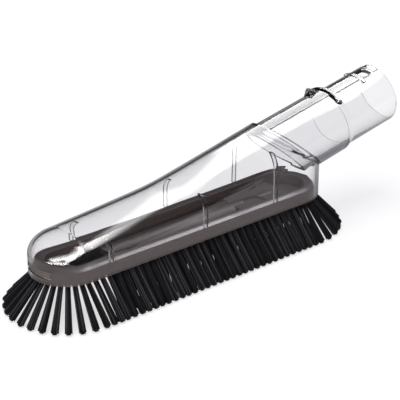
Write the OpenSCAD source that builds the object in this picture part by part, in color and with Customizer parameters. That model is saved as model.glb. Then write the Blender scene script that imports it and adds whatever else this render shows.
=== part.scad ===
// Soft dusting brush tool for a vacuum cleaner.
// A clear hood with a round socket neck covers an oval tray, and one row of
// stiff tufts fans out all round the underside of the tray.
// X runs from the nose to the neck, Z is up and the tool stands on its tufts.

/* [Head] */
// Length of the hood without its neck
head_l = 198.4; // [190:0.2:215]
// Width of the hood across its skirt
head_w = 42.8; // [42:0.2:46]
// Wall thickness of the hood
hood_wall = 2.2; // [1.6:0.1:2.6]
// Height of the crown at the waist, where the roof starts to climb faster
waist_h = 29; // [26:0.5:32]
// Distance of that waist from the middle of the head, towards the nose
waist_x = 14; // [5:1:30]
// Rise of the roof for each millimetre in front of the waist
front_rise = 0.1; // [0.06:0.01:0.14]
// Rise of the roof for each millimetre behind the waist
rear_rise = 0.2375; // [0.22:0.0005:0.25]
// Radius that blends the two slopes of the roof
waist_blend = 0.5; // [0.2:0.1:1.5]
// Height of the upright heel wall below the neck
heel_h = 14; // [12:0.5:16]
// Slope of the back of the hood above the heel wall
heel_slope = 40; // [37:1:43]

/* [Neck] */
// Bore of the socket
bore_d = 32; // [30:0.1:33]
// Depth of the socket up to its stop shoulder
socket_depth = 41.5; // [35:0.5:44]
// Wall thickness of the socket
socket_wall = 2.4; // [2:0.1:2.8]
// Width of the stop shoulder at the end of the socket
stop_w = 0.6; // [0.4:0.1:1]
// Outer diameter of the neck between the hood and the socket
collar_d = 39.6; // [38.8:0.1:41]
// Upward tilt of the neck
neck_tilt = 11.6; // [10:0.1:13]
// Distance of the mouth centre beyond the heel
neck_reach = 55.2; // [52:0.2:60]
// Height of the mouth centre above the skirt's lower edge
mouth_h = 44.5; // [43:0.5:46]
// Distance that the inner sleeve reaches into the hood past the back wall
sleeve_in = 6; // [3:0.5:8]
// Lead-in chamfer at the mouth
lead_in = 0.8; // [0.4:0.1:1.2]

/* [Neck top] */
// Width of the flat rib along the top of the neck
spine_w = 10; // [8:0.5:12]
// Height of that rib over the neck
spine_h = 0.7; // [0.4:0.1:1]
// Distance from the mouth to the front of the cross lug
lug_s = 38; // [34:1:42]
// Length of the cross lug along the neck
lug_l = 7; // [5:0.5:9]
// Height of the cross lug over the collar
lug_h = 1.2; // [0.8:0.1:2]
// Angle that the cross lug covers round the neck
lug_arc = 80; // [60:5:90]
// Height of the ramped tooth behind the cross lug
tooth_h = 3.4; // [2:0.1:4]
// Width of that tooth
tooth_w = 8; // [6:0.5:10]
// Width of the catch window near the mouth
catch_w = 9; // [6:0.5:10]
// Length of the catch window
catch_l = 7; // [6:0.5:8]
// Distance of the catch window from the mouth
catch_s = 5.5; // [5:0.5:7]

/* [Ribs inside the hood] */
// Distances of the rib pairs from the middle of the head
rib_front = -63; // [-68:1:-55]
rib_mid = 2; // [-8:1:10]
rib_rear = 54.5; // [48:0.5:58]
// Thickness of a rib
rib_t = 2; // [1.4:0.1:2.6]
// Depth of a rib over the hood's wall
rib_d = 3; // [2:0.1:3.6]

/* [Tray] */
// Height of the tray
tray_h = 6.1; // [5.6:0.1:7]
// Width of the flat ledge round the tray, with its edge
ledge_w = 7; // [6.6:0.1:7.6]
// Thickness of the tray's floor
floor_t = 2.4; // [2:0.1:3]
// Height of the bridge over the suction slot
bridge_h = 4.2; // [3.8:0.1:5]
// Half width of the bridge
bridge_r = 6; // [5:0.1:6.5]
// Clearance between the tray and the hood's skirt
fit_gap = 0.2; // [0.1:0.05:0.4]
// Clearance between the ribs' feet and the ledge
seat_gap = 0.1; // [0.05:0.05:0.3]
// Width of the rounded edge of the ledge
edge_r = 1.2; // [0.6:0.1:1.6]
// Half angle of the snap window at the nose
snap_a = 30; // [20:1:35]
// Lower edge of the snap window
snap_z = 3.2; // [2.8:0.1:3.6]
// Height of the snap window
snap_h = 3.6; // [3:0.1:4]
// Clearance round the snap nib in its window
snap_gap = 0.3; // [0.2:0.05:0.5]
// Distance of the suction slot's round end from the nose
slot_nose = 20.8; // [20:0.5:26]
// Open length of the slot in front of the bridge
slot_open = 22.4; // [18:0.2:26]
// Distance of the slot's pointed end from the heel
slot_heel = 33; // [30:0.5:40]
// Diameter of the round recess in the floor
recess_d = 14; // [12:0.5:15]
// Depth of the recess
recess_t = 1.4; // [0.8:0.1:1.8]
// Height of the floor in the heel well
well_z = 1.2; // [1:0.1:1.6]

/* [Tufts] */
// Distance between the tufts' roots and the edge of the tray
root_in = 2.6; // [2.4:0.1:3]
// Radius of a tuft at its root
root_r = 1.3; // [1:0.05:1.35]
// Radius of a tuft at its rounded tip
tip_r = 2.1; // [1.8:0.05:2.15]
// Length of a tuft below the tray, up to the centre of its tip
tuft_l = 26.4; // [24:0.1:30]
// Lean of the tufts, outwards from upright
flare = 42.2; // [38:0.2:45]
// Length of a tuft inside its hole
tuft_in = 3; // [2.4:0.1:3.2]
// Spaces between tufts along one side
side_n = 34; // [28:1:34]
// Spaces between tufts round one end
end_n = 15; // [11:1:15]
// Clearance between a tuft and its hole
hole_gap = 0.1; // [0.05:0.05:0.15]

/* [Hidden] */
end_r = head_w / 2;
mid_l = head_l - head_w;
duct_d = bore_d - 2 * stop_w;
socket_d = bore_d + 2 * socket_wall;
tray_r = end_r - hood_wall - fit_gap;
root_ring = tray_r - root_in;
pan_r = tray_r - ledge_w;
mouth_x = head_l / 2 + neck_reach;
stand_h = tuft_l * cos(flare) + tip_r;
tip_reach = root_ring + tuft_l * sin(flare) + tip_r;
x_min = -mid_l / 2 - tip_reach;
x_max = mouth_x + socket_d / 2 * sin(neck_tilt);
eps = 0.01;

// Facets round one end, along one side and up the arch of the hood
arc_n = 14;
run_n = 12;
rise_n = 9;

// Height of the roof along the head
function front_line(x) = waist_h + front_rise * (x + waist_x);
function rear_line(x) = waist_h - 0.3 + rear_rise * (x + waist_x);
function crown(x) =
    (front_line(x) + rear_line(x)
     + sqrt(pow(front_line(x) - rear_line(x), 2) + 4 * pow(waist_blend, 2))) / 2;

// Height of the arch that closes the roof over the upright walls
function arch(x) =
    let (low = 0.58 * crown(x), cap = 0.96 * end_r)
    1 / pow(pow(low, -4) + pow(cap, -4), 0.25);

// One station of the plan outline: its centre and its outward angle
function station(i) =
    i <= arc_n ? [-mid_l / 2, 180 + 90 * i / arc_n]
    : i < arc_n + run_n ? [-mid_l / 2 + mid_l * (i - arc_n) / run_n, 270]
    : [mid_l / 2, 270 + 90 * (i - arc_n - run_n) / arc_n];
half_n = 2 * arc_n + run_n;
function outline_at(i) =
    i <= half_n ? station(i)
    : let (s = station(2 * half_n - i)) [s[0], -s[1]];

// One point of the dome, inset by t from its outside
function dome_point(i, j, t, bottom) =
    let (s = outline_at(i),
         spring = crown(s[0]) - arch(s[0]),
         a = (j - 1) * 86 / rise_n,
         r = end_r - t,
         reach = j == 0 ? r : r * cos(a))
    [s[0] + reach * cos(s[1]), reach * sin(s[1]),
     j == 0 ? bottom : spring + (arch(s[0]) - t) * sin(a)];

// Closed dome over the oval plan, built as stacked rings
module dome(t, bottom) {
    n = 2 * half_n;
    m = rise_n + 1;
    points = [for (j = [0:m], i = [0:n - 1]) dome_point(i, j, t, bottom)];
    walls = [for (j = [0:m - 1], i = [0:n - 1])
        let (a = j * n + i, b = j * n + (i + 1) % n)
        each [[a, a + n, b], [b, a + n, b + n]]];
    top = m * n;
    lid = [for (i = [0:half_n - 1])
        let (a = top + i, b = top + i + 1,
             c = top + (n - i) % n, d = top + n - i - 1)
        each (i == 0 ? [[a, d, b]]
              : i == half_n - 1 ? [[a, c, b]]
              : [[a, c, b], [b, c, d]])];
    base = [[for (i = [0:n - 1]) i]];
    polyhedron(points, concat(base, walls, lid), convexity = 6);
}

// Everything below the sloping back of the hood, lowered by t
module below_back(t) {
    translate([head_l / 2, 0, heel_h])
        rotate([0, heel_slope, 0])
            translate([-300, -100, -200 - t]) cube([500, 200, 200]);
}

// Oval bar with straight walls
module oval(r, h, fn = 96) {
    linear_extrude(h) oval_2d(r, fn);
}

module oval_2d(r, fn = 96) {
    for (x = [-1, 1]) translate([x * mid_l / 2, 0]) circle(r, $fn = fn);
    square([mid_l, 2 * r], center = true);
}

// Oval bar whose radius changes from r1 to r2 over its height
module oval_taper(r1, r2, h) {
    for (x = [-1, 1]) translate([x * mid_l / 2, 0, 0])
        cylinder(h = h, r1 = r1, r2 = r2, $fn = 96);
    translate([-mid_l / 2, 0, 0]) rotate([90, 0, 90])
        linear_extrude(mid_l) polygon([[-r1, 0], [r1, 0], [r2, h], [-r2, h]]);
}

// Frame of the neck: the origin is the mouth's centre and +Z points out of it
module neck_frame() {
    translate([mouth_x, 0, mouth_h]) rotate([0, 90 - neck_tilt, 0]) children();
}

// A ring sector on the upper side of the neck, from s1 to s2 behind the mouth
module top_sector(r_in, r_out, s1, s2, arc) {
    translate([0, 0, -s2]) rotate([0, 0, 180 - arc / 2])
        rotate_extrude(angle = arc, $fn = 96)
            translate([r_in, 0]) square([r_out - r_in, s2 - s1]);
}

module neck_outside() {
    joint_s = neck_reach / cos(neck_tilt) + 40;
    neck_frame() {
        translate([0, 0, -joint_s])
            cylinder(h = joint_s - lug_s - 2, d = collar_d, $fn = 96);
        translate([0, 0, -lug_s - 2 - eps])
            cylinder(h = 2, d1 = collar_d, d2 = socket_d, $fn = 96);
        translate([0, 0, -lug_s - 2])
            cylinder(h = lug_s + 2, d = socket_d, $fn = 96);
    }
}

// Flat rib, cross lug, ramped tooth and mouth tab on top of the neck
module neck_top() {
    in_r = duct_d / 2 + 1;
    back = neck_reach / cos(neck_tilt) + 35;
    neck_frame() {
        intersection() {
            translate([0, 0, -back])
                cylinder(h = back - lug_s, r = collar_d / 2 + spine_h, $fn = 96);
            translate([-collar_d, -spine_w / 2, -back])
                cube([collar_d - in_r, spine_w, back]);
        }
        intersection() {
            translate([0, 0, -lug_s - 1])
                cylinder(h = lug_s + 1 - catch_s - catch_l - 4,
                         r = socket_d / 2 + spine_h, $fn = 96);
            translate([-collar_d, -spine_w / 2, -lug_s - 1])
                cube([collar_d - socket_d / 2 + socket_wall / 2, spine_w, lug_s]);
        }
        top_sector(in_r, collar_d / 2 + lug_h, lug_s, lug_s + lug_l, lug_arc);
        translate([0, tooth_w / 2, 0]) rotate([90, 0, 0])
            linear_extrude(tooth_w)
                polygon([[-in_r, -lug_s - lug_l + 1],
                         [-collar_d / 2 - lug_h, -lug_s - lug_l + 1],
                         [-collar_d / 2 - tooth_h, -lug_s - lug_l - 1.5],
                         [-collar_d / 2 - tooth_h, -lug_s - lug_l - 4],
                         [-collar_d / 2, -lug_s - lug_l - 7],
                         [-in_r, -lug_s - lug_l - 7]]);
        top_sector(bore_d / 2 + 1, socket_d / 2 + spine_h + 0.5,
                   catch_s + catch_l + 2, catch_s + catch_l + 4, 52);
        top_sector(bore_d / 2 + 1, socket_d / 2 + spine_h, 0.6,
                   catch_s - 1.5, 30);
    }
}

module neck_bores() {
    neck_frame() {
        translate([0, 0, -socket_depth])
            cylinder(h = socket_depth + 1, d = bore_d, $fn = 96);
        translate([0, 0, -neck_reach - 65])
            cylinder(h = neck_reach + 66, d = duct_d, $fn = 96);
        translate([0, 0, -lead_in])
            cylinder(h = lead_in + eps, d1 = bore_d, d2 = bore_d + 2 * lead_in,
                     $fn = 96);
        translate([-collar_d, -catch_w / 2, -catch_s - catch_l])
            cube([collar_d, catch_w, catch_l]);
    }
}

// Sleeve that carries the bore on into the hood, cut parallel to the back
module sleeve() {
    difference() {
        neck_frame() translate([0, 0, -neck_reach - 65])
            cylinder(h = 60, d = duct_d + 2 * socket_wall, $fn = 96);
        below_back(hood_wall + sleeve_in);
    }
}

// Upright ribs that follow the roof and press on the tray's ledge
module ribs() {
    intersection() {
        difference() {
            dome(hood_wall / 2, -1);
            dome(hood_wall + rib_d, -2);
        }
        for (x = [rib_front, rib_mid, rib_rear]) {
            top = crown(x) - arch(x) / 2;
            translate([x - rib_t / 2, -end_r, tray_h + seat_gap])
                cube([rib_t, 2 * end_r, top - tray_h]);
        }
    }
}

// Ring sector about the nose end, for the snap window and its nib
module nose_sector(r_in, r_out, z, h, half_a) {
    translate([-mid_l / 2, 0, z]) rotate([0, 0, 180 - half_a])
        rotate_extrude(angle = 2 * half_a, $fn = 96)
            translate([r_in, 0]) square([r_out - r_in, h]);
}

module hood_solid() {
    difference() {
        union() {
            difference() {
                union() {
                    intersection() {
                        dome(0, 0);
                        below_back(0);
                    }
                    neck_outside();
                }
                intersection() {
                    dome(hood_wall, -1);
                    below_back(hood_wall);
                }
            }
            sleeve();
            neck_top();
            ribs();
        }
        neck_bores();
        nose_sector(end_r - hood_wall - 1, end_r + 1, snap_z, snap_h, snap_a);
    }
}

// Long suction slot that forks round the bridge, with a pointed far leg
module slot_2d() {
    slot_r = pan_r - 1.4;
    nose_x = -head_l / 2 + slot_nose + slot_r;
    tip_x = -head_l / 2 + slot_nose + slot_open + bridge_r;
    end_x = head_l / 2 - slot_heel;
    difference() {
        union() {
            translate([nose_x, 0]) circle(slot_r, $fn = 64);
            translate([nose_x, -slot_r])
                square([end_x - 30 - nose_x, 2 * slot_r]);
            polygon([[end_x - 31, bridge_r], [end_x - 31, slot_r],
                     [end_x, slot_r], [end_x - 4, slot_r - 1.6]]);
        }
        translate([tip_x, 0]) circle(bridge_r, $fn = 64);
        translate([tip_x, -bridge_r]) square([mid_l, 2 * bridge_r]);
    }
}

// Bridge with a rounded back between the two legs of the slot
module bridge() {
    tip_x = -head_l / 2 + slot_nose + slot_open + bridge_r;
    end_x = head_l / 2 - slot_heel;
    sag = bridge_h - floor_t + 0.4;
    big_r = (pow(bridge_r, 2) + pow(sag, 2)) / (2 * sag);
    intersection() {
        translate([tip_x - bridge_r, 0, bridge_h - big_r]) rotate([0, 90, 0])
            cylinder(h = end_x - tip_x + bridge_r, r = big_r, $fn = 128);
        union() {
            translate([tip_x, 0, 0]) cylinder(h = bridge_h + 1, r = bridge_r, $fn = 64);
            translate([tip_x, -bridge_r, 0])
                cube([end_x - tip_x, 2 * bridge_r, bridge_h + 1]);
        }
    }
}

module tray_solid() {
    end_x = head_l / 2 - slot_heel;
    well_x = mid_l / 2 - 4;
    difference() {
        union() {
            difference() {
                union() {
                    oval(tray_r, tray_h - edge_r / 2);
                    translate([0, 0, tray_h - edge_r / 2 - eps])
                        oval_taper(tray_r, tray_r - edge_r, edge_r / 2 + eps);
                }
                translate([0, 0, floor_t])
                    oval_taper(pan_r - 1, pan_r, tray_h - floor_t + eps);
                linear_extrude(3 * tray_h, center = true) slot_2d();
            }
            bridge();
            intersection() {
                translate([end_x - 30, -end_r, 0])
                    cube([well_x - end_x + 30, 2 * end_r, bridge_h - 0.4]);
                difference() {
                    oval(pan_r + 0.5, bridge_h);
                    linear_extrude(3 * tray_h, center = true) slot_2d();
                }
            }
            nose_sector(tray_r - 1, end_r - 0.4, snap_z + snap_gap,
                        snap_h - 2 * snap_gap, snap_a - 1.5);
            translate([mid_l / 2, 0, tray_h - eps]) rotate([0, 0, 39])
                rotate_extrude(angle = 19, $fn = 96)
                    translate([tray_r - edge_r - 1.2, 0]) square([1, 1.4]);
        }
        translate([end_x - 16, -5.5, bridge_h - recess_t])
            cylinder(h = recess_t + 1, d = recess_d, $fn = 64);
        translate([0, 0, well_z]) intersection() {
            oval_taper(pan_r - 1, pan_r - 0.4, tray_h - well_z + eps);
            translate([well_x, -end_r, -1]) cube([end_r + 10, 2 * end_r, 20]);
        }
        holes();
    }
}

// Placing of one tuft: its root on the tray's lower face, leaning outwards
module at_root(x, angle) {
    translate([x, 0, 0]) rotate([0, 0, angle])
        translate([root_ring, 0, 0]) rotate([0, 180 - flare, 0]) children();
}

module all_roots() {
    side_roots(-90) children();
    side_roots(90) children();
    end_roots(-1) children();
    end_roots(1) children();
}

module side_roots(angle) {
    for (i = [0:side_n])
        at_root(-mid_l / 2 + mid_l * i / side_n, angle) children();
}

module end_roots(side) {
    for (i = [1:end_n - 1])
        at_root(side * mid_l / 2, (side < 0 ? 90 : -90) + 180 * i / end_n)
            children();
}

module holes() {
    all_roots() translate([0, 0, -tuft_in - hole_gap])
        cylinder(h = tuft_in + 6, r = root_r + hole_gap, $fn = 32);
}

// One bundle of filaments: a straight root, a widening body, a round tip
module tuft() {
    translate([0, 0, -tuft_in]) cylinder(h = tuft_in + 2.5, r = root_r, $fn = 32);
    translate([0, 0, 2]) cylinder(h = tuft_l - 2, r1 = root_r, r2 = tip_r, $fn = 32);
    translate([0, 0, tuft_l]) sphere(r = tip_r, $fn = 32);
}

// Moves the model so that it stands on Z = 0 with its box centred on the origin
module stand() {
    translate([-(x_min + x_max) / 2, 0, stand_h]) children();
}

module hood() { color("lightcyan", 0.5) stand() hood_solid(); }
module bristle_tray() { color("dimgray") stand() tray_solid(); }
module tufts_nose() { color([0.12, 0.12, 0.13]) stand() end_roots(-1) tuft(); }
module tufts_near() { color([0.14, 0.13, 0.15]) stand() side_roots(-90) tuft(); }
module tufts_far() { color([0.1, 0.1, 0.12]) stand() side_roots(90) tuft(); }
module tufts_heel() { color([0.13, 0.14, 0.14]) stand() end_roots(1) tuft(); }

hood();
bristle_tray();
tufts_nose();
tufts_near();
tufts_far();
tufts_heel();
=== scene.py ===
"""Soft dusting brush tool for a vacuum cleaner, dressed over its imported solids.

The tool is a clear moulded hood with a tilted socket neck, a brown grey tray
with a suction slot, and one row of black tufts that fans out all round it.
Sizes are in millimetres in the classes and become metres when a mesh is made.
"""

import logging
import math
import random
from dataclasses import dataclass, field
from enum import Enum

import bmesh
import bpy
from mathutils import Matrix, Vector

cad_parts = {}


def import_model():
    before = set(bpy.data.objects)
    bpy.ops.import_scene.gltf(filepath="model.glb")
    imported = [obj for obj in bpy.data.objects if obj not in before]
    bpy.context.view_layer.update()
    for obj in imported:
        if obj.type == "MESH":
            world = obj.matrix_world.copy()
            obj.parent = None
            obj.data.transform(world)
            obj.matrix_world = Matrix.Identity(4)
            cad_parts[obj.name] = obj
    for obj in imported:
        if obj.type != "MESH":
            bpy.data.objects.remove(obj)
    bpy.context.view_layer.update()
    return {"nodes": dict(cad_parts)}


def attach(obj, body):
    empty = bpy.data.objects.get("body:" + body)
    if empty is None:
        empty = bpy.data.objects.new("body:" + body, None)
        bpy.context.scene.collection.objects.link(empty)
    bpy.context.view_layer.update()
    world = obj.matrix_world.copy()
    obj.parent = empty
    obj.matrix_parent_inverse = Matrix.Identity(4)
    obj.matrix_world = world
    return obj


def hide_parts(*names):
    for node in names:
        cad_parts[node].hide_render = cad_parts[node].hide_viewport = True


logging.basicConfig(level=logging.INFO, format="%(message)s")
log = logging.getLogger("dusting_brush")

MM = 0.001
STRAND = "strand"


class Join(Enum):
    """How two closed meshes are combined."""

    ADD = "UNION"
    CUT = "DIFFERENCE"
    KEEP = "INTERSECT"


class Side(Enum):
    """The four stretches of the tuft row, by the CAD node they stand for."""

    NOSE = "tufts_nose"
    NEAR = "tufts_near"
    FAR = "tufts_far"
    HEEL = "tufts_heel"


# ---------------------------------------------------------------- mesh tools


def ring_on(bm: bmesh.types.BMesh, points: list[Vector]) -> list[bmesh.types.BMVert]:
    """Adds an open chain of vertices and edges.

    Args:
        bm: Mesh that receives the chain.
        points: Positions in millimetres.

    Returns:
        The chain's vertices in order.
    """
    verts = [bm.verts.new(p) for p in points]
    for a, b in zip(verts, verts[1:]):
        bm.edges.new((a, b))
    return verts


def extrude_chain(
    bm: bmesh.types.BMesh, chain: list[bmesh.types.BMVert], points: list[Vector]
) -> list[bmesh.types.BMVert]:
    """Extrudes a chain of edges and moves the copy to new positions.

    Args:
        bm: Mesh that holds the chain.
        chain: Vertices of the chain in order.
        points: Where the extruded copies go, in the same order.

    Returns:
        The vertices of the copy, in order.
    """
    wanted = set(chain)
    edges = [e for v in chain for e in v.link_edges if e.other_vert(v) in wanted]
    made = bmesh.ops.extrude_edge_only(bm, edges=list(dict.fromkeys(edges)))
    fresh = {g for g in made["geom"] if isinstance(g, bmesh.types.BMVert)}
    out = []
    for vert, place in zip(chain, points):
        copy = next(e.other_vert(vert) for e in vert.link_edges if e.other_vert(vert) in fresh)
        copy.co = place
        out.append(copy)
    return out


def close_up(bm: bmesh.types.BMesh, merge: float = 5e-3) -> None:
    """Merges doubles, fills every open loop and turns the faces outwards."""
    bmesh.ops.remove_doubles(bm, verts=bm.verts, dist=merge)
    bmesh.ops.dissolve_degenerate(bm, dist=merge, edges=bm.edges)
    open_edges = [e for e in bm.edges if e.is_boundary]
    if open_edges:
        bmesh.ops.holes_fill(bm, edges=open_edges, sides=0)
    bmesh.ops.recalc_face_normals(bm, faces=bm.faces)


def revolve(profile: list[tuple[float, float]], steps: int) -> bmesh.types.BMesh:
    """Spins a profile that starts and ends on the Z axis into a closed solid.

    Args:
        profile: Pairs of radius and height.
        steps: Facets round the axis.

    Returns:
        The closed mesh.
    """
    bm = bmesh.new()
    chain = ring_on(bm, [Vector((r, 0.0, z)) for r, z in profile])
    geom = chain + [e for e in bm.edges]
    bmesh.ops.spin(bm, geom=geom, cent=(0, 0, 0), axis=(0, 0, 1), dvec=(0, 0, 0),
                   angle=math.tau, steps=steps, use_merge=True,
                   use_normal_flip=False, use_duplicate=False)
    close_up(bm)
    return bm


def slab(x: tuple[float, float], y: tuple[float, float], z: tuple[float, float]) -> bmesh.types.BMesh:
    """Returns a closed block between the given limits."""
    bm = bmesh.new()
    bmesh.ops.create_cube(bm, size=1.0)
    bmesh.ops.scale(bm, vec=(x[1] - x[0], y[1] - y[0], z[1] - z[0]), verts=bm.verts)
    bmesh.ops.translate(bm, vec=((x[0] + x[1]) / 2, (y[0] + y[1]) / 2, (z[0] + z[1]) / 2), verts=bm.verts)
    return bm


def sector(r_in: float, r_out: float, z: tuple[float, float], middle: float, arc: float, steps: int = 24) -> bmesh.types.BMesh:
    """Spins a rectangle part of the way round the Z axis.

    Args:
        r_in: Inner radius.
        r_out: Outer radius.
        z: Lower and upper height.
        middle: Angle of the sector's middle, in degrees.
        arc: Angle that the sector covers, in degrees.
        steps: Facets along the arc.

    Returns:
        The closed mesh.
    """
    bm = bmesh.new()
    bmesh.ops.create_grid(bm, x_segments=1, y_segments=1, size=0.5)
    bmesh.ops.transform(bm, verts=bm.verts, matrix=(
        Matrix.Translation(((r_in + r_out) / 2, 0, (z[0] + z[1]) / 2))
        @ Matrix.Rotation(math.pi / 2, 4, "X")
        @ Matrix.Diagonal((r_out - r_in, z[1] - z[0], 1, 1))))
    bmesh.ops.rotate(bm, verts=bm.verts, cent=(0, 0, 0),
                     matrix=Matrix.Rotation(math.radians(middle - arc / 2), 3, "Z"))
    bmesh.ops.spin(bm, geom=list(bm.faces), cent=(0, 0, 0), axis=(0, 0, 1), dvec=(0, 0, 0),
                   angle=math.radians(arc), steps=steps, use_merge=False,
                   use_normal_flip=False, use_duplicate=False)
    bmesh.ops.recalc_face_normals(bm, faces=bm.faces)
    return bm


def combine(base: bmesh.types.BMesh, tool: bmesh.types.BMesh, how: Join) -> bmesh.types.BMesh:
    """Combines two closed meshes with Blender's manifold boolean.

    Args:
        base: The mesh that is worked on. It is freed.
        tool: The mesh that is added, cut away or kept. It is freed.
        how: Which of the three.

    Returns:
        The combined mesh.
    """
    pair = []
    for bm in (base, tool):
        mesh = bpy.data.meshes.new("shape")
        bm.to_mesh(mesh)
        bm.free()
        ob = bpy.data.objects.new("shape", mesh)
        bpy.context.scene.collection.objects.link(ob)
        pair.append(ob)
    modifier = pair[0].modifiers.new("combine", "BOOLEAN")
    modifier.operation = how.value
    modifier.solver = "MANIFOLD"
    modifier.object = pair[1]
    graph = bpy.context.evaluated_depsgraph_get()
    made = bpy.data.meshes.new_from_object(pair[0].evaluated_get(graph))
    out = bmesh.new()
    out.from_mesh(made)
    for ob in pair:
        mesh = ob.data
        bpy.data.objects.remove(ob)
        bpy.data.meshes.remove(mesh)
    bpy.data.meshes.remove(made)
    return out


def make_piece(name: str, bm: bmesh.types.BMesh, material: bpy.types.Material, sharp: float) -> bpy.types.Object:
    """Turns a mesh in millimetres into a piece in metres.

    Args:
        name: The piece's name.
        bm: Its mesh. It is freed.
        material: Its material.
        sharp: Angle in degrees past which an edge stays sharp.

    Returns:
        The new object, at the origin.
    """
    bmesh.ops.scale(bm, vec=(MM, MM, MM), verts=bm.verts)
    mesh = bpy.data.meshes.new(name)
    bm.to_mesh(mesh)
    bm.free()
    mesh.materials.append(material)
    mesh.shade_smooth()
    mesh.set_sharp_from_angle(angle=math.radians(sharp))
    ob = bpy.data.objects.new(name, mesh)
    bpy.context.scene.collection.objects.link(ob)
    log.info("%s: %d faces", name, len(mesh.polygons))
    return ob


# ------------------------------------------------------------------ finishes


class Shader:
    """A small helper that adds and links the nodes of one material."""

    def __init__(self, name: str) -> None:
        """Starts an empty node material called name."""
        self.material = bpy.data.materials.new(name)
        self.material.use_nodes = True
        self.tree = self.material.node_tree
        self.tree.nodes.clear()
        self.out = self.add("ShaderNodeOutputMaterial")
        self.coords = self.add("ShaderNodeTexCoord")

    def add(self, kind: str, **sockets: object) -> bpy.types.Node:
        """Adds a node and sets its named sockets, with _ for a space."""
        node = self.tree.nodes.new(kind)
        for key, value in sockets.items():
            node.inputs[key.replace("_", " ")].default_value = value
        return node

    def link(self, source: bpy.types.NodeSocket, target: bpy.types.NodeSocket) -> None:
        """Links two sockets."""
        self.tree.links.new(source, target)

    def noise(self, scale: tuple[float, float, float], detail: float = 4.0, rough: float = 0.5) -> bpy.types.NodeSocket:
        """Adds noise on Object coordinates, stretched by scale per metre.

        Args:
            scale: Noise cells for each metre along X, Y and Z.
            detail: Octaves of the noise.
            rough: Strength of the finer octaves.

        Returns:
            The noise value's socket.
        """
        mapping = self.add("ShaderNodeMapping", Scale=scale)
        self.link(self.coords.outputs["Object"], mapping.inputs["Vector"])
        node = self.add("ShaderNodeTexNoise", Scale=1.0, Detail=detail, Roughness=rough)
        self.link(mapping.outputs["Vector"], node.inputs["Vector"])
        return node.outputs["Fac"]

    def ramp(self, value: bpy.types.NodeSocket, stops: list[tuple[float, tuple[float, float, float]]]) -> bpy.types.NodeSocket:
        """Turns a value into a colour by a ramp of position and colour stops."""
        node = self.add("ShaderNodeValToRGB")
        self.link(value, node.inputs["Fac"])
        elements = node.color_ramp.elements
        while len(elements) < len(stops):
            elements.new(0.5)
        for element, (place, colour) in zip(elements, stops):
            element.position = place
            element.color = (*colour, 1.0)
        return node.outputs["Color"]

    def spread(self, value: bpy.types.NodeSocket, low: float, high: float) -> bpy.types.NodeSocket:
        """Maps a 0 to 1 value to the range from low to high."""
        node = self.add("ShaderNodeMapRange")
        node.inputs["To Min"].default_value = low
        node.inputs["To Max"].default_value = high
        self.link(value, node.inputs["Value"])
        return node.outputs["Result"]

    def maths(self, kind: str, *values: bpy.types.NodeSocket | float) -> bpy.types.NodeSocket:
        """Adds a Math node of that kind and returns its value's socket."""
        node = self.add("ShaderNodeMath")
        node.operation = kind
        for socket, value in zip(node.inputs, values):
            if isinstance(value, float):
                socket.default_value = value
            else:
                self.link(value, socket)
        return node.outputs["Value"]

    def bump(self, value: bpy.types.NodeSocket, depth: float, strength: float = 1.0) -> bpy.types.NodeSocket:
        """Turns a height value into a normal, with depth in metres."""
        node = self.add("ShaderNodeBump", Strength=strength, Distance=depth)
        self.link(value, node.inputs["Height"])
        return node.outputs["Normal"]


@dataclass(frozen=True)
class ClearPlastic:
    """Polished clear moulding plastic with faint flow waviness."""

    tint: tuple[float, float, float, float] = (0.995, 0.995, 1.0, 1.0)
    ior: float = 1.54
    body: tuple[float, float, float, float] = (0.30, 0.30, 0.36, 1.0)
    depth: float = 20.0
    shade: tuple[float, float, float, float] = (0.74, 0.74, 0.76, 1.0)

    def build(self) -> bpy.types.Material:
        """Returns the material: a clear shader that lets lamp light through."""
        s = Shader("clear_plastic")
        body = s.add("ShaderNodeBsdfPrincipled", Base_Color=self.tint, Roughness=0.02, IOR=self.ior)
        body.inputs["Transmission Weight"].default_value = 1.0
        s.link(s.spread(s.noise((120, 120, 120), 2.0), 0.02, 0.035), body.inputs["Roughness"])
        s.link(s.bump(s.noise((55, 90, 90), 1.0), 0.0004, 0.12), body.inputs["Normal"])
        soak = s.add("ShaderNodeVolumeAbsorption", Color=self.body, Density=self.depth)
        s.link(soak.outputs["Volume"], s.out.inputs["Volume"])
        clear = s.add("ShaderNodeBsdfTransparent", Color=self.shade)
        path = s.add("ShaderNodeLightPath")
        mix = s.add("ShaderNodeMixShader")
        s.link(path.outputs["Is Shadow Ray"], mix.inputs["Fac"])
        s.link(body.outputs["BSDF"], mix.inputs[1])
        s.link(clear.outputs["BSDF"], mix.inputs[2])
        s.link(mix.outputs["Shader"], s.out.inputs["Surface"])
        return s.material


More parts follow.
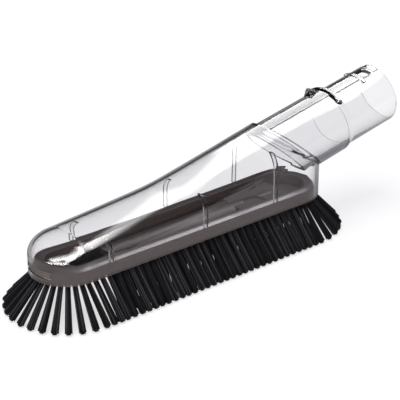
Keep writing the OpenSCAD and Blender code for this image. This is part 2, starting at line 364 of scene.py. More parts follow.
@dataclass(frozen=True)
class TrayPlastic:
    """Brown grey moulding plastic, satin on the rim and polished in the trough."""

    rim: tuple[float, float, float] = (0.128, 0.098, 0.091)
    # Trough colour: partly the tray's own darker tone, partly painted shade for the recess inside the rim.
    trough_tone_and_shade: tuple[float, float, float] = (0.050, 0.031, 0.027)
    middle: float = -0.02203
    half_l: float = 0.0778
    trough_r: float = 0.0122
    crown_r: float = 0.0132
    crown_w: float = 0.0015
    crown: float = 0.36

    def build(self) -> bpy.types.Material:
        """Returns the material: cloudy brown, darker inside the rim (partly its own tone, partly painted shade in the
        recess), whose top is crowned.
        """
        s = Shader("tray_plastic")
        body = s.add("ShaderNodeBsdfPrincipled", IOR=1.27)
        split = s.add("ShaderNodeSeparateXYZ")
        s.link(s.coords.outputs["Object"], split.inputs["Vector"])
        along = s.maths("ABSOLUTE", s.maths("SUBTRACT", split.outputs["X"], self.middle))
        past = s.maths("MAXIMUM", s.maths("SUBTRACT", along, self.half_l), 0.0)
        radius = s.maths("SQRT", s.maths("ADD", s.maths("MULTIPLY", past, past),
                                         s.maths("MULTIPLY", split.outputs["Y"], split.outputs["Y"])))
        edge = s.add("ShaderNodeMapRange")
        for key, value in (("From Min", self.trough_r), ("From Max", self.trough_r + 0.0006)):
            edge.inputs[key].default_value = value
        s.link(radius, edge.inputs["Value"])
        cloud = s.noise((60, 60, 60), 5.0)
        tones = [s.ramp(cloud, [(0.3, tuple(c * 0.88 for c in tone)), (0.7, tuple(c * 1.1 for c in tone))])
                 for tone in (self.trough_tone_and_shade, self.rim)]
        # Inside trough_r the darker trough colour is used, which is partly painted shade; the rim keeps its own colour.
        mix = s.add("ShaderNodeMix")
        mix.data_type = "RGBA"
        s.link(edge.outputs["Result"], mix.inputs[0])
        s.link(tones[0], mix.inputs[6])
        s.link(tones[1], mix.inputs[7])
        s.link(mix.outputs[2], body.inputs["Base Color"])
        grainy = s.spread(s.noise((400, 400, 400), 4.0), 0.46, 0.56)
        s.link(s.maths("SUBTRACT", grainy, s.maths("MULTIPLY", edge.outputs["Result"], 0.20)),
               body.inputs["Roughness"])
        out = s.maths("MAXIMUM", s.maths("SUBTRACT", radius, self.crown_r), 0.0)
        far = s.maths("SQRT", s.maths("ADD", s.maths("MULTIPLY", out, out), self.crown_w ** 2))
        fall = s.maths("MULTIPLY", far, -self.crown)
        crowned = s.add("ShaderNodeBump", Strength=1.0, Distance=1.0)
        s.link(fall, crowned.inputs["Height"])
        grain = s.add("ShaderNodeBump", Strength=0.5, Distance=0.00004)
        s.link(s.noise((3500, 3500, 3500), 2.0), grain.inputs["Height"])
        s.link(crowned.outputs["Normal"], grain.inputs["Normal"])
        s.link(grain.outputs["Normal"], body.inputs["Normal"])
        s.link(body.outputs["BSDF"], s.out.inputs["Surface"])
        return s.material


@dataclass(frozen=True)
class Bristle:
    """Black nylon filament, slightly uneven along its length."""

    dark: tuple[float, float, float] = (0.009, 0.0078, 0.0098)
    light: tuple[float, float, float] = (0.020, 0.018, 0.022)
    # Painted highlight: a light colour given to a few strands that stands in for light grazing them.
    streak_highlight: tuple[float, float, float] = (0.090, 0.083, 0.096)

    def build(self) -> bpy.types.Material:
        """Returns the material: near black with a satin sheen, and a few strands painted light as highlight streaks."""
        s = Shader("bristle")
        body = s.add("ShaderNodeBsdfPrincipled", Roughness=0.42, IOR=1.46)
        strand = s.add("ShaderNodeAttribute")
        strand.attribute_name = STRAND
        cloud = s.spread(s.noise((1500, 1500, 260), 3.0), -0.12, 0.12)
        # The top of the strand ramp gives a few strands the painted highlight colour.
        s.link(s.ramp(s.maths("ADD", strand.outputs["Fac"], cloud),
                      [(0.2, self.dark), (0.65, self.light), (0.9, self.streak_highlight)]), body.inputs["Base Color"])
        s.link(s.spread(s.noise((700, 700, 300), 2.0), 0.34, 0.55), body.inputs["Roughness"])
        s.link(s.bump(s.noise((2600, 2600, 300), 2.0), 0.00005, 0.4), body.inputs["Normal"])
        s.link(body.outputs["BSDF"], s.out.inputs["Surface"])
        return s.material


@dataclass(frozen=True)
class FloorPaper:
    """Pale studio paper that shows as white and keeps a soft shadow."""

    colour: tuple[float, float, float] = (0.52, 0.515, 0.525)
    lift: float = 0.66
    near: float = 0.42
    far: float = 0.62

    def build(self) -> bpy.types.Material:
        """Returns the material: pale paper, lifted to white for what looks at it.

        What is seen through the clear plastic also meets the dark studio
        beyond the sheet, so the lift fades with the distance there.
        """
        s = Shader("floor_paper")
        paper = s.add("ShaderNodeBsdfDiffuse", Roughness=0.5)
        low = tuple(c * 0.985 for c in self.colour)
        s.link(s.ramp(s.noise((40, 40, 40), 4.0), [(0.3, low), (0.7, self.colour)]), paper.inputs["Color"])
        reach = s.add("ShaderNodeVectorMath")
        reach.operation = "LENGTH"
        s.link(s.coords.outputs["Object"], reach.inputs[0])
        fade = s.add("ShaderNodeMapRange")
        for key, value in (("From Min", self.near), ("From Max", self.far), ("To Min", 1.0), ("To Max", 0.1)):
            fade.inputs[key].default_value = value
        s.link(reach.outputs["Value"], fade.inputs["Value"])
        path = s.add("ShaderNodeLightPath")
        turned = s.maths("ADD", path.outputs["Diffuse Depth"], path.outputs["Glossy Depth"])
        straight = s.maths("MULTIPLY", path.outputs["Is Transmission Ray"], s.maths("LESS_THAN", turned, 0.5))
        seen = s.maths("MAXIMUM", path.outputs["Is Camera Ray"], s.maths("MULTIPLY", straight, fade.outputs["Result"]))
        glow = s.add("ShaderNodeEmission", Color=(1.0, 0.995, 1.0, 1.0))
        s.link(s.maths("MULTIPLY", seen, self.lift), glow.inputs["Strength"])
        both = s.add("ShaderNodeAddShader")
        s.link(paper.outputs["BSDF"], both.inputs[0])
        s.link(glow.outputs["Emission"], both.inputs[1])
        s.link(both.outputs["Shader"], s.out.inputs["Surface"])
        return s.material


# -------------------------------------------------------------------- pieces


@dataclass
class Sizes:
    """Sizes shared by the pieces, the same as in the part's solids."""

    head_l: float = 198.4
    head_w: float = 42.8
    hood_wall: float = 2.2
    waist_h: float = 29.0
    waist_x: float = 14.0
    front_rise: float = 0.1
    rear_rise: float = 0.2375
    waist_blend: float = 0.5
    heel_h: float = 14.0
    heel_slope: float = 40.0
    neck_tilt: float = 11.6
    neck_reach: float = 55.2
    mouth_h: float = 44.5
    tray_h: float = 6.1
    fit_gap: float = 0.2
    root_in: float = 2.6
    root_r: float = 1.3
    tip_r: float = 2.1
    tuft_l: float = 26.4
    flare: float = 42.2
    tuft_in: float = 3.0
    side_n: int = 34
    end_n: int = 15
    socket_d: float = 36.8

    @property
    def end_r(self) -> float:
        """Radius of the head's round ends."""
        return self.head_w / 2

    @property
    def mid_l(self) -> float:
        """Distance between the centres of the round ends."""
        return self.head_l - self.head_w

    @property
    def root_ring(self) -> float:
        """Distance of the tufts' roots from the head's centre line."""
        return self.end_r - self.hood_wall - self.fit_gap - self.root_in

    @property
    def mouth_x(self) -> float:
        """Distance of the mouth's centre from the middle of the head."""
        return self.head_l / 2 + self.neck_reach

    @property
    def stand(self) -> Matrix:
        """Move that stands the tool on its tufts, centred on the origin."""
        lean = math.radians(self.flare)
        reach = self.root_ring + self.tuft_l * math.sin(lean) + self.tip_r
        x_min = -self.mid_l / 2 - reach
        x_max = self.mouth_x + self.socket_d / 2 * math.sin(math.radians(self.neck_tilt))
        return Matrix.Translation((-(x_min + x_max) / 2, 0.0, self.tuft_l * math.cos(lean) + self.tip_r))

    @property
    def neck_frame(self) -> Matrix:
        """Frame at the mouth's centre, whose Z points out of the mouth."""
        return Matrix.Translation((self.mouth_x, 0, self.mouth_h)) @ Matrix.Rotation(
            math.radians(90 - self.neck_tilt), 4, "Y")

    def crown(self, x: float) -> float:
        """Returns the height of the hood's roof at x."""
        a = self.waist_h + self.front_rise * (x + self.waist_x)
        b = self.waist_h - 0.3 + self.rear_rise * (x + self.waist_x)
        return (a + b + math.sqrt((a - b) ** 2 + 4 * self.waist_blend ** 2)) / 2

    def arch(self, x: float) -> float:
        """Returns the height of the arch over the upright walls at x."""
        return ((0.58 * self.crown(x)) ** -4 + (0.96 * self.end_r) ** -4) ** -0.25


@dataclass
class ClearHood:
    """The clear hood and its neck, one moulding."""

    sizes: Sizes
    bore_d: float = 32.0
    socket_depth: float = 41.5
    stop_w: float = 0.6
    collar_d: float = 39.6
    sleeve_in: float = 6.0
    lead_in: float = 0.8
    spine_w: float = 10.0
    spine_h: float = 0.7
    lug_s: float = 38.0
    lug_l: float = 7.0
    lug_h: float = 1.2
    lug_arc: float = 68.0
    tooth_h: float = 4.4
    tooth_w: float = 5.6
    tooth_back: float = 1.0
    tooth_turn: float = -14.0
    finger_d: float = 4.6
    catch: tuple[float, float, float] = (9.0, 7.0, 5.5)
    ribs: tuple[float, float, float] = (-63.0, 2.0, 54.5)
    rib_t: float = 1.5
    rib_d: float = 2.4
    snap: tuple[float, float, float] = (30.0, 3.2, 3.6)
    end_steps: int = 64
    run_steps: int = 48
    rise_steps: int = 36
    turn_steps: int = 160

    def half_arch(self, x: float, inset: float, bottom: float, side: int) -> list[Vector]:
        """Returns the roof line at x from the ridge down to the bottom edge."""
        s = self.sizes
        reach, rise = s.end_r - inset, s.arch(x) - inset
        spring = s.crown(x) - s.arch(x)
        arc = [Vector((x, side * reach * math.sin(a), spring + rise * math.cos(a)))
               for a in (math.pi / 2 * k / self.rise_steps for k in range(self.rise_steps + 1))]
        return arc + [Vector((x, side * reach, bottom))]

    def dome(self, inset: float, bottom: float) -> bmesh.types.BMesh:
        """Sweeps the roof along the head and spins it round both ends.

        Args:
            inset: Distance inside the hood's outer surface.
            bottom: Height of the flat underside.

        Returns:
            The closed mesh.
        """
        bm = bmesh.new()
        half = self.sizes.mid_l / 2
        xs = [-half + 2 * half * k / self.run_steps for k in range(self.run_steps + 1)]

        def full(x: float) -> list[Vector]:
            """Returns the whole arch at x, from one lower edge to the other."""
            left = self.half_arch(x, inset, bottom, -1)
            right = self.half_arch(x, inset, bottom, 1)
            return left[::-1] + right[1:]

        chain = ring_on(bm, full(xs[0]))
        for x in xs[1:]:
            chain = extrude_chain(bm, chain, full(x))
        for x, side in ((-half, -1), (half, 1)):
            part = ring_on(bm, self.half_arch(x, inset, bottom, side))
            edges = [e for v in part for e in v.link_edges if e.other_vert(v) in set(part)]
            bmesh.ops.spin(bm, geom=part + list(dict.fromkeys(edges)), cent=(x, 0, 0), axis=(0, 0, 1),
                           dvec=(0, 0, 0), angle=-math.pi, steps=self.end_steps, use_merge=False,
                           use_normal_flip=False, use_duplicate=False)
        close_up(bm)
        return bm

    def cut_back(self, bm: bmesh.types.BMesh, drop: float, keep_below: bool = True) -> bmesh.types.BMesh:
        """Cuts a mesh along the sloping back of the hood, lowered by drop."""
        s = self.sizes
        slope = math.radians(s.heel_slope)
        normal = Vector((math.sin(slope), 0, math.cos(slope)))
        place = Vector((s.head_l / 2, 0, s.heel_h)) - normal * drop
        bmesh.ops.bisect_plane(bm, geom=[*bm.verts, *bm.edges, *bm.faces], dist=1e-5, plane_co=place,
                               plane_no=normal, clear_outer=keep_below, clear_inner=not keep_below)
        close_up(bm)
        return bm

    def on_neck(self, bm: bmesh.types.BMesh) -> bmesh.types.BMesh:
        """Moves a mesh made about the Z axis to the neck's frame."""
        bmesh.ops.transform(bm, matrix=self.sizes.neck_frame, verts=bm.verts)
        return bm

    def neck_outside(self) -> bmesh.types.BMesh:
        """Returns the outside of the neck as one spun solid."""
        s = self.sizes
        back = s.neck_reach / math.cos(math.radians(s.neck_tilt)) + 40
        r1, r2 = self.collar_d / 2, s.socket_d / 2
        ease = [(r2 + (r1 - r2) * (0.5 - 0.5 * math.cos(math.pi * k / 8)), -self.lug_s + 1.0 - 0.65 * k)
                for k in range(8, -1, -1)]
        return self.on_neck(revolve([(0, -back), (r1, -back), *ease, (r2, -0.9), (r2 - 0.12, -0.45), (r2 - 0.4, -0.12),
                                      (r2 - 0.8, 0), (0, 0)],
                                    self.turn_steps))

    def bead(self, radius: float, drop: float, thick: float) -> bmesh.types.BMesh:
        """Returns a thin ring where a tube of the neck meets the sloping back.

        Args:
            radius: Radius of the tube.
            drop: How far the slope lies inside the hood's outer surface.
            thick: Radius of the ring's own section.

        Returns:
            The closed ring.
        """
        s = self.sizes
        slope, tilt = math.radians(s.heel_slope), math.radians(s.neck_tilt)
        normal = Vector((math.sin(slope), 0, math.cos(slope)))
        axis = Vector((math.cos(tilt), 0, math.sin(tilt)))
        mouth = Vector((s.mouth_x, 0, s.mouth_h))
        place = Vector((s.head_l / 2, 0, s.heel_h)) - normal * drop
        centre = mouth - axis * ((mouth - place).dot(normal) / axis.dot(normal))
        bm = bmesh.new()
        made = bmesh.ops.create_circle(bm, cap_ends=False, radius=thick, segments=6)
        bmesh.ops.rotate(bm, verts=made["verts"], cent=(0, 0, 0), matrix=Matrix.Rotation(math.pi / 2, 3, "X"))
        bmesh.ops.translate(bm, verts=made["verts"], vec=(radius, 0, 0))
        bmesh.ops.spin(bm, geom=list(bm.verts) + list(bm.edges), cent=(0, 0, 0), axis=(0, 0, 1), dvec=(0, 0, 0),
                       angle=math.tau, steps=self.turn_steps, use_merge=True, use_normal_flip=False,
                       use_duplicate=False)
        close_up(bm)
        long = Vector((normal.z, 0, -normal.x))
        stretch = 1 / abs(axis.dot(normal))
        for vert in bm.verts:
            flat = Vector((vert.co.x, vert.co.y, 0))
            ring = flat.normalized() * radius
            rest = vert.co - ring
            vert.co = centre + long * (ring.x * stretch + rest.x) + Vector((0, ring.y + rest.y, 0)) + normal * rest.z
        bmesh.ops.recalc_face_normals(bm, faces=bm.faces)
        return bm

    def bores(self) -> bmesh.types.BMesh:
        """Returns the socket and the duct behind it as one spun tool."""
        r1, r2 = self.bore_d / 2 - self.stop_w, self.bore_d / 2
        back = self.sizes.neck_reach + 65
        return self.on_neck(revolve([(0, -back), (r1, -back), (r1, -self.socket_depth), (r2, -self.socket_depth),
                                     (r2, -self.lead_in), (r2 + self.lead_in, 0), (r2 + self.lead_in, 1), (0, 1)],
                                    self.turn_steps))

    def sleeve(self) -> bmesh.types.BMesh:
        """Returns the tube that carries the bore on into the hood."""
        back = self.sizes.neck_reach + 65
        r = self.bore_d / 2 - self.stop_w + 2.4
        bm = self.on_neck(revolve([(0, -back), (r, -back), (r, -back + 60), (0, -back + 60)], self.turn_steps))
        return self.cut_back(bm, self.sizes.hood_wall + self.sleeve_in, keep_below=False)

    def rib_blades(self) -> bmesh.types.BMesh:
        """Returns the upright ribs that follow the roof down to the ledge."""
        s = self.sizes
        blades = bmesh.new()
        for x in self.ribs:
            top = s.crown(x) - s.arch(x) / 2
            part = slab((x - self.rib_t / 2, x + self.rib_t / 2), (-s.end_r + 0.9, s.end_r - 0.9),
                        (s.tray_h + 0.1, top))
            mesh = bpy.data.meshes.new("blade")
            part.to_mesh(mesh)
            part.free()
            blades.from_mesh(mesh)
            bpy.data.meshes.remove(mesh)
        return combine(blades, self.dome(s.hood_wall + self.rib_d, -2), Join.CUT)

    def finger(self) -> bmesh.types.BMesh:
        """Returns the cross lug, a rounded bar laid round part of the neck."""
        radius, place = self.finger_d / 2, -self.lug_s - self.lug_l / 2 + 1.0
        ring = self.collar_d / 2 + self.lug_h - radius + 0.6
        bm = bmesh.new()
        bmesh.ops.create_circle(bm, cap_ends=True, radius=radius, segments=14)
        bmesh.ops.rotate(bm, verts=bm.verts, cent=(0, 0, 0), matrix=Matrix.Rotation(math.pi / 2, 3, "X"))
        bmesh.ops.translate(bm, verts=bm.verts, vec=(ring, 0, place))
        first = math.radians(180 - self.lug_arc / 2)
        bmesh.ops.rotate(bm, verts=bm.verts, cent=(0, 0, 0), matrix=Matrix.Rotation(first, 3, "Z"))
        bmesh.ops.spin(bm, geom=list(bm.faces), cent=(0, 0, 0), axis=(0, 0, 1), dvec=(0, 0, 0),
                       angle=math.radians(self.lug_arc), steps=32, use_merge=False,
                       use_normal_flip=False, use_duplicate=False)
        bmesh.ops.recalc_face_normals(bm, faces=bm.faces)
        for turn in (-self.lug_arc / 2, self.lug_arc / 2):
            ball = bmesh.new()
            bmesh.ops.create_uvsphere(ball, u_segments=20, v_segments=12, radius=radius * 0.999)
            angle = math.radians(180 + turn)
            bmesh.ops.translate(ball, verts=ball.verts, vec=(ring * math.cos(angle), ring * math.sin(angle), place))
            bm = combine(bm, ball, Join.ADD)
        return bm

    def top_parts(self) -> list[bmesh.types.BMesh]:
        """Returns the flat rib, cross lug, ramped tooth and mouth tab."""
        s = self.sizes
        r1, r2 = self.collar_d / 2, s.socket_d / 2
        back = s.neck_reach / math.cos(math.radians(s.neck_tilt)) + 35
        width, length, place = self.catch
        spine_arc = 2 * math.degrees(math.asin(self.spine_w / 2 / r1))
        parts = [
            sector(r1 - 1.5, r1 + self.spine_h, (-back, -self.lug_s), 180, spine_arc, 12),
            sector(r2 - 1.5, r2 + self.spine_h, (-self.lug_s - 1, -place - length - 4), 180, spine_arc, 12),
            self.finger(),
            sector(r2 - 1.2, r2 + self.spine_h + 0.5, (-place - length - 4, -place - length - 2), 180, 52, 24),
            sector(r2 - 1.2, r2 + self.spine_h, (-place + 1.5, -0.6), 180, 30, 16),
        ]
        tooth = bmesh.new()
        start = -self.lug_s - self.lug_l - self.tooth_back
        shape = [(r1 - 2, start), (r1 + self.lug_h, start), (r1 + self.tooth_h, start - 1.2),
                 (r1 + self.tooth_h, start - 3), (r1, start - 5.5), (r1 - 2, start - 5.5)]
        face = tooth.faces.new([tooth.verts.new((-r, -self.tooth_w / 2, z)) for r, z in shape])
        made = bmesh.ops.extrude_face_region(tooth, geom=[face])
        bmesh.ops.translate(tooth, vec=(0, self.tooth_w, 0),
                            verts=[g for g in made["geom"] if isinstance(g, bmesh.types.BMVert)])
        bmesh.ops.recalc_face_normals(tooth, faces=tooth.faces)
        bmesh.ops.scale(tooth, vec=(1, 0.55, 1), verts=[v for v in tooth.verts if v.co.x < -r1 - 2])
        bmesh.ops.bevel(tooth, geom=list(tooth.edges), offset=0.3, affect="EDGES", segments=2,
                        profile=0.5, material=-1)
        bmesh.ops.rotate(tooth, verts=tooth.verts, cent=(0, 0, 0),
                         matrix=Matrix.Rotation(math.radians(self.tooth_turn), 3, "Z"))
        parts.append(tooth)
        return [self.on_neck(p) for p in parts]

    def build(self, material: bpy.types.Material) -> bpy.types.Object:
        """Builds the whole moulding as one closed clear shell.

        Args:
            material: The clear plastic.

        Returns:
            The piece.
        """
        s = self.sizes
        shell = self.cut_back(self.dome(0, 0), 0)
        shell = combine(shell, self.neck_outside(), Join.ADD)
        for part in self.top_parts():
            shell = combine(shell, part, Join.ADD)
        void = self.cut_back(self.dome(s.hood_wall, -1), s.hood_wall)
        void = combine(void, self.sleeve(), Join.CUT)
        void = combine(void, self.rib_blades(), Join.CUT)
        shell = combine(shell, void, Join.CUT)
        shell = combine(shell, self.bores(), Join.CUT)
        width, length, place = self.catch
        window = slab((-self.collar_d, -self.bore_d / 2 + 3), (-width / 2, width / 2), (-place - length, -place))
        bmesh.ops.bevel(window, geom=list(window.edges), offset=0.8, affect="EDGES", segments=3,
                        profile=0.5, material=-1)
        shell = combine(shell, self.on_neck(window), Join.CUT)
        shell = combine(shell, self.bead(self.collar_d / 2, 0.0, 0.6), Join.CUT)
        half_a, low, high = self.snap
        snap = sector(s.end_r - s.hood_wall - 1, s.end_r + 1, (low, low + high), 180, 2 * half_a, 32)
        bmesh.ops.translate(snap, vec=(-s.mid_l / 2, 0, 0), verts=snap.verts)
        shell = combine(shell, snap, Join.CUT)
        bmesh.ops.transform(shell, matrix=s.stand, verts=shell.verts)
        return make_piece("clear_hood", shell, material, 30)


@dataclass
class TuftRow:
    """One row of filament bundles round the underside of the tray."""

    sizes: Sizes
    rings: tuple[tuple[int, float], ...] = ((15, 0.86), (9, 0.5), (3, 0.18))
    inner_rows: tuple[tuple[float, float, float], ...] = ((0.5, 1.5, 35.0), (0.0, 3.0, 27.0))
    inner_skip: int = 4
    filament_r: float = 0.24
    levels: tuple[float, ...] = (0.0, 0.3, 0.62, 0.88, 1.0)
    seed: int = 7
    chance: random.Random = field(default_factory=random.Random)

    def filament(self, bm: bmesh.types.BMesh, angle: float, share: float) -> None:
        """Adds one filament of a bundle, from its hole to its rounded end.

        Args:
            bm: Mesh that receives it.
            angle: Direction from the bundle's axis, in radians.
            share: Distance from the axis as a share of the bundle's radius.
        """
        s = self.sizes
        reach = s.tuft_l + s.tip_r * math.sqrt(max(0.0, 1 - share * share)) - self.filament_r
        drift = (self.chance.uniform(-0.2, 0.2), self.chance.uniform(-0.2, 0.2))
        made = bmesh.ops.create_circle(bm, cap_ends=False, radius=self.filament_r, segments=5)
        loop = made["verts"]
        # Random tone per strand; the highest tones get the painted highlight streak colour in the bristle material.
        tone = self.chance.random()
        layer = bm.verts.layers.float[STRAND]
        for vert in loop:
            vert[layer] = tone
        turn = self.chance.uniform(0, math.tau)
        bmesh.ops.rotate(bm, verts=loop, cent=(0, 0, 0), matrix=Matrix.Rotation(turn, 3, "Z"))
        centre = Vector((0, 0, 0))
        for k, level in enumerate(self.levels):
            z = -s.tuft_in * 0.6 + (reach + s.tuft_in * 0.6) * level
            spread = (s.root_r + (s.tip_r - s.root_r) * max(0.0, z / s.tuft_l)) * share
            place = Vector((spread * math.cos(angle) + drift[0] * level ** 2,
                            spread * math.sin(angle) + drift[1] * level ** 2, z))
            if k:
                edges = list({e for v in loop for e in v.link_edges if e.other_vert(v) in loop})
                grown = bmesh.ops.extrude_edge_only(bm, edges=edges)
                loop = [g for g in grown["geom"] if isinstance(g, bmesh.types.BMVert)]
            bmesh.ops.translate(bm, verts=loop, vec=place - centre)
            centre = place
        edges = list({e for v in loop for e in v.link_edges if e.other_vert(v) in loop})
        grown = bmesh.ops.extrude_edge_only(bm, edges=edges)
        loop = [g for g in grown["geom"] if isinstance(g, bmesh.types.BMVert)]
        bmesh.ops.scale(bm, vec=(0.45, 0.45, 1), space=Matrix.Translation(-centre), verts=loop)
        bmesh.ops.translate(bm, verts=loop, vec=(0, 0, self.filament_r * 0.8))
        bmesh.ops.contextual_create(bm, geom=list({e for v in loop for e in v.link_edges if e.other_vert(v) in loop}))

    def bundle(self) -> bpy.types.Mesh:
        """Returns one bundle as a mesh: a core with filaments laid round it."""
        s = self.sizes
        profile = [(0, -s.tuft_in * 0.6), (s.root_r * 0.8, -s.tuft_in * 0.6), (s.root_r * 0.84, 2.0),
                   (s.tip_r * 0.84, s.tuft_l)]
        profile += [(s.tip_r * 0.84 * math.cos(a), s.tuft_l + s.tip_r * 0.86 * math.sin(a))
                    for a in (math.pi / 8, math.pi / 4, 3 * math.pi / 8)]
        profile.append((0, s.tuft_l + s.tip_r * 0.88))
        bm = revolve(profile, 10)
        bm.verts.layers.float.new(STRAND)
        for count, share in self.rings:
            start = self.chance.uniform(0, math.tau)
            for k in range(count):
                self.filament(bm, start + math.tau * k / count + self.chance.uniform(-0.1, 0.1), share)
        mesh = bpy.data.meshes.new("bundle")
        bmesh.ops.recalc_face_normals(bm, faces=bm.faces)
        bm.to_mesh(mesh)
        bm.free()
        return mesh

    def places(self, side: Side) -> list[Matrix]:
        """Returns the frame of each bundle of a stretch, Z along the bundle."""
        s = self.sizes
        if side in (Side.NEAR, Side.FAR):
            angle = -90 if side is Side.NEAR else 90
            roots = [(-s.mid_l / 2 + s.mid_l * i / s.side_n, angle) for i in range(s.side_n + 1)]
        else:
            end = -1 if side is Side.NOSE else 1
            first = 90 if side is Side.NOSE else -90
            roots = [(end * s.mid_l / 2, first + 180 * i / s.end_n) for i in range(1, s.end_n)]
        frames = [self.frame(x, a, s.root_ring, s.flare) for x, a in roots]
        if side in (Side.NEAR, Side.FAR):
            step = s.mid_l / s.side_n
            frames += [self.frame(x + step * shift, a, s.root_ring - inset, flare)
                       for shift, inset, flare in self.inner_rows for x, a in roots[self.inner_skip:-1]]
        return frames

    def frame(self, x: float, angle: float, ring: float, flare: float) -> Matrix:
        """Returns the frame of one bundle whose tip stands on the floor.

        Args:
            x: Centre of the turn that the bundle's root lies on.
            angle: Direction that it leans in, in degrees.
            ring: Distance of its root from that centre.
            flare: How far it leans out, in degrees.

        Returns:
            The frame at its root, whose Z points along the bundle.
        """
        s = self.sizes
        reach = s.tuft_l * math.cos(math.radians(s.flare)) / math.cos(math.radians(flare))
        return (Matrix.Translation((x, 0, 0)) @ Matrix.Rotation(math.radians(angle), 4, "Z")
                @ Matrix.Translation((ring, 0, 0)) @ Matrix.Rotation(math.radians(180 - flare), 4, "Y")
                @ Matrix.Diagonal((1, 1, reach / s.tuft_l, 1)))

    def build(self, side: Side, material: bpy.types.Material) -> bpy.types.Object:
        """Builds one stretch of the row.

        Args:
            side: Which stretch.
            material: The bristle's material.

        Returns:
            The piece.
        """
        self.chance.seed(f"{self.seed}{side.value}")
        kinds = [self.bundle() for _ in range(5)]
        bm = bmesh.new()
        bm.verts.layers.float.new(STRAND)
        for place in self.places(side):
            copy = self.chance.choice(kinds).copy()
            lean = Matrix.Rotation(math.radians(self.chance.uniform(-0.6, 0.6)), 4, "X") @ Matrix.Rotation(
                math.radians(self.chance.uniform(-0.6, 0.6)), 4, "Y")
            copy.transform(self.sizes.stand @ place @ lean
                           @ Matrix.Rotation(self.chance.uniform(0, math.tau), 4, "Z"))
            bm.from_mesh(copy)
            bpy.data.meshes.remove(copy)
        for mesh in kinds:
            bpy.data.meshes.remove(mesh)
        return make_piece(side.value.replace("tufts", "bristles"), bm, material, 60)


# -------------------------------------------------------------------- studio


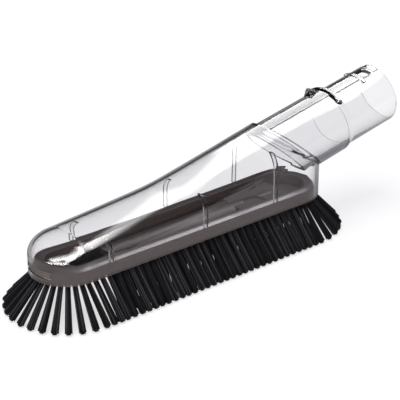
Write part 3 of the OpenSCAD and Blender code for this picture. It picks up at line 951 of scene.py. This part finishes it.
@dataclass
class Studio:
    """Floor, backdrop light and the camera at the photograph's angle."""

    azimuth: float = 39.9
    elevation: float = 24.54
    distance: float = 794.34
    target: tuple[float, float, float] = (13.69, 0.0, 13.06)
    focal_px: float = 1400.0
    frame_px: float = 400.0
    card_h: float = 278.0
    card_step: float = 3.0
    fill: float = 0.35
    sky: tuple[tuple[float, float], ...] = ((0.0, 0.06), (0.15, 0.07), (0.5, 0.12), (1.0, 0.16))
    shown_in: bpy.types.Collection | None = None
    lit: dict[str, bpy.types.Collection] = field(default_factory=dict)

    def camera(self, sizes: Sizes) -> None:
        """Places the camera as it stood for the photograph."""
        a, e = math.radians(self.azimuth), math.radians(self.elevation)
        towards = Vector((-math.sin(a) * math.cos(e), -math.cos(a) * math.cos(e), math.sin(e)))
        data = bpy.data.cameras.new("photo_view")
        data.sensor_width = 36.0
        data.lens = self.focal_px / self.frame_px * 36.0
        data.clip_start = 0.05
        data.clip_end = 20.0
        ob = bpy.data.objects.new("photo_view", data)
        ob.location = (sizes.stand @ Vector(self.target) + towards * self.distance) * MM
        ob.rotation_euler = towards.to_track_quat("Z", "Y").to_euler()
        bpy.context.scene.collection.objects.link(ob)
        bpy.context.scene.camera = ob

    def lamp(self, name: str, centre: tuple[float, float, float], along: tuple[float, float, float],
             size: tuple[float, float], radiance: float, on: bpy.types.Collection) -> bpy.types.Object:
        """Adds a soft rectangular lamp that faces the tool.

        Args:
            name: Its name.
            centre: Its centre, in metres.
            along: Direction of its long side.
            size: Its length and width, in metres.
            radiance: How bright its surface is, where 1 is white paper in full light.
            on: What it lights.

        Returns:
            The lamp.
        """
        data = bpy.data.lights.new(name, "AREA")
        data.shape = "RECTANGLE"
        data.size, data.size_y = size
        data.energy = radiance * math.pi * size[0] * size[1]
        ob = bpy.data.objects.new(name, data)
        back = Vector(centre).normalized()
        side = Vector(along)
        side = (side - back * side.dot(back)).normalized()
        turn = Matrix((side, back.cross(side), back)).transposed().to_4x4()
        ob.matrix_world = Matrix.Translation(centre) @ turn
        ob.visible_camera = False
        ob.visible_transmission = False
        ob.light_linking.receiver_collection = on
        bpy.context.scene.collection.objects.link(ob)
        return ob

    def card(self, name: str, sizes: Sizes, start: tuple[float, float], end: tuple[float, float],
             width: float, radiance: float, soft: tuple[float, float], height: float) -> None:
        """Hangs a bright reflection card level above the tool.

        Args:
            name: Its name.
            sizes: The tool's sizes, whose frame start and end are given in.
            start: One end of the card's left edge, in millimetres.
            end: The other end of that edge.
            width: How far the card reaches to the right of that edge.
            radiance: How bright it is.
            soft: Shares of its length and its width over which it fades out.
            height: Its height in the same frame. No two cards share one, because
                the first of two level lamps would hide the other.
        """
        edge = Vector((end[0] - start[0], end[1] - start[1], 0))
        right = Vector((edge.y, -edge.x, 0)).normalized()
        middle = Vector((start[0], start[1], height)) + edge / 2 + right * width / 2
        centre = (sizes.stand @ middle) * MM
        size = (edge.length * MM, abs(width) * MM)
        data = bpy.data.lights.new(name, "AREA")
        data.shape = "RECTANGLE"
        data.size, data.size_y = size
        data.energy = radiance * math.pi * size[0] * size[1]
        ob = bpy.data.objects.new(name, data)
        ob.location = centre
        ob.rotation_euler = (0, 0, math.atan2(edge.y, edge.x))
        ob.visible_camera = False
        ob.visible_diffuse = False
        ob.visible_transmission = False
        data.cycles.max_bounces = 0
        ob.light_linking.receiver_collection = self.shown_in
        bpy.context.scene.collection.objects.link(ob)
        self.soften(data, soft)

    def soften(self, data: bpy.types.Light, soft: tuple[float, float]) -> None:
        """Makes a card fade out over a share of its width at all four edges.

        It shows only in the outside of the clear plastic, not in what is
        seen through it.
        """
        data.use_nodes = True
        tree = data.node_tree
        glow = next(n for n in tree.nodes if n.type == "EMISSION")
        split = tree.nodes.new("ShaderNodeSeparateXYZ")
        tree.links.new(tree.nodes.new("ShaderNodeNewGeometry").outputs["Parametric"], split.inputs["Vector"])
        total = None
        for axis, share in zip(("X", "Y"), soft):
            for edge in (0.0, 1.0):
                fade = tree.nodes.new("ShaderNodeMapRange")
                fade.interpolation_type = "SMOOTHSTEP"
                fade.inputs["From Min"].default_value = edge
                fade.inputs["From Max"].default_value = abs(edge - share)
                tree.links.new(split.outputs[axis], fade.inputs["Value"])
                if total is None:
                    total = fade.outputs["Result"]
                    continue
                times = tree.nodes.new("ShaderNodeMath")
                times.operation = "MULTIPLY"
                tree.links.new(total, times.inputs[0])
                tree.links.new(fade.outputs["Result"], times.inputs[1])
                total = times.outputs["Value"]
        path = tree.nodes.new("ShaderNodeLightPath")
        outside = tree.nodes.new("ShaderNodeMath")
        outside.operation = "LESS_THAN"
        outside.inputs[1].default_value = 0.5
        tree.links.new(path.outputs["Transmission Depth"], outside.inputs[0])
        shown = tree.nodes.new("ShaderNodeMath")
        shown.operation = "MULTIPLY"
        tree.links.new(total, shown.inputs[0])
        tree.links.new(outside.outputs["Value"], shown.inputs[1])
        tree.links.new(shown.outputs["Value"], glow.inputs["Strength"])

    def world(self) -> None:
        """Shows white behind the tool and a dim studio in its reflections."""
        world = bpy.data.worlds.new("studio")
        bpy.context.scene.world = world
        world.use_nodes = True
        tree = world.node_tree
        tree.nodes.clear()
        out = tree.nodes.new("ShaderNodeOutputWorld")
        coords = tree.nodes.new("ShaderNodeTexCoord")
        split = tree.nodes.new("ShaderNodeSeparateXYZ")
        tree.links.new(coords.outputs["Generated"], split.inputs["Vector"])
        ramp = tree.nodes.new("ShaderNodeValToRGB")
        while len(ramp.color_ramp.elements) < len(self.sky):
            ramp.color_ramp.elements.new(0.5)
        for element, (place, grey) in zip(ramp.color_ramp.elements, self.sky):
            element.position = place
            element.color = (grey, grey, grey * 1.04, 1.0)
        tree.links.new(split.outputs["Z"], ramp.inputs["Fac"])
        seen = tree.nodes.new("ShaderNodeBackground")
        tree.links.new(ramp.outputs["Color"], seen.inputs["Color"])
        even = tree.nodes.new("ShaderNodeBackground")
        even.inputs["Color"].default_value = (self.fill, self.fill, self.fill * 1.03, 1.0)
        path = tree.nodes.new("ShaderNodeLightPath")
        dim = tree.nodes.new("ShaderNodeMixShader")
        tree.links.new(path.outputs["Diffuse Depth"], dim.inputs["Fac"])
        tree.links.new(seen.outputs["Background"], dim.inputs[1])
        tree.links.new(even.outputs["Background"], dim.inputs[2])
        white = tree.nodes.new("ShaderNodeBackground")
        white.inputs["Color"].default_value = (1.0, 1.0, 1.0, 1.0)
        mix = tree.nodes.new("ShaderNodeMixShader")
        tree.links.new(path.outputs["Is Camera Ray"], mix.inputs["Fac"])
        tree.links.new(dim.outputs["Shader"], mix.inputs[1])
        tree.links.new(white.outputs["Background"], mix.inputs[2])
        tree.links.new(mix.outputs["Shader"], out.inputs["Surface"])

    def floor(self) -> None:
        """Adds the pale floor that the tool stands on."""
        bm = bmesh.new()
        bmesh.ops.create_grid(bm, x_segments=8, y_segments=8, size=3000.0)
        ob = make_piece("floor", bm, FloorPaper().build(), 30)
        self.lit["all"].objects.link(ob)

    def build(self, sizes: Sizes) -> None:
        """Builds the whole studio."""
        bpy.context.scene.view_settings.view_transform = "Standard"
        self.shown_in = bpy.data.collections.new("cards_show_in")
        self.lit = {name: bpy.data.collections.new(f"lit_{name}") for name in ("all", "tray")}
        self.camera(sizes)
        self.world()
        self.floor()
        for rise, (name, start, end, width, radiance, soft) in enumerate((
                ("long_card", (18, -22), (236, 446), 300.0, 7.5, (0.08, 0.10)),
                ("shoulder_card", (104, -16), (79, -205), 140.0, 22.0, (0.16, 0.50)),
                ("nose_card", (125, -160), (-800, -873), 220.0, 20.0, (0.12, 0.50)),
                ("mid_card", (-620, 110), (0, -112), 310.0, 22.0, (0.20, 0.50)),
                ("end_card", (-2600, 560), (-330, -10), 1400.0, 18.0, (0.10, 0.35)))):
            self.card(name, sizes, start, end, width, radiance, soft, self.card_h + rise * self.card_step)
        self.lamp("key", (-0.37, 0.07, 2.0), (1, 0, 0), (1.2, 1.2), 4.4, self.lit["all"])
        self.lamp("front", (-0.62, -0.85, 0.42), (1, 0, 0), (0.5, 0.35), 22.0, self.lit["tray"])
        rim = self.lamp("rim_card", (0.63, 0.24, 0.85), (1, -1, 0), (0.40, 0.25), 104.0, self.lit["tray"])
        rim.visible_diffuse = False
        rim.data.color = (1.0, 0.95, 0.94)


def main() -> None:
    """Builds the studio and every piece."""
    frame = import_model()
    sizes = Sizes()
    studio = Studio()
    studio.build(sizes)

    hood = ClearHood(sizes).build(ClearPlastic().build())
    studio.shown_in.objects.link(hood)
    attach(hood, "root")
    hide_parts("hood")

    tray = frame["nodes"]["bristle_tray"]
    tray_finish = TrayPlastic().build()
    for slot in tray.material_slots:
        slot.material = tray_finish
    for group in studio.lit.values():
        group.objects.link(tray)
    log.info("bristle_tray: dressed")

    row = TuftRow(sizes)
    bristle = Bristle().build()
    for side in Side:
        piece = row.build(side, bristle)
        studio.lit["all"].objects.link(piece)
        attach(piece, "root")
        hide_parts(side.value)


if __name__ == "__main__":
    main()
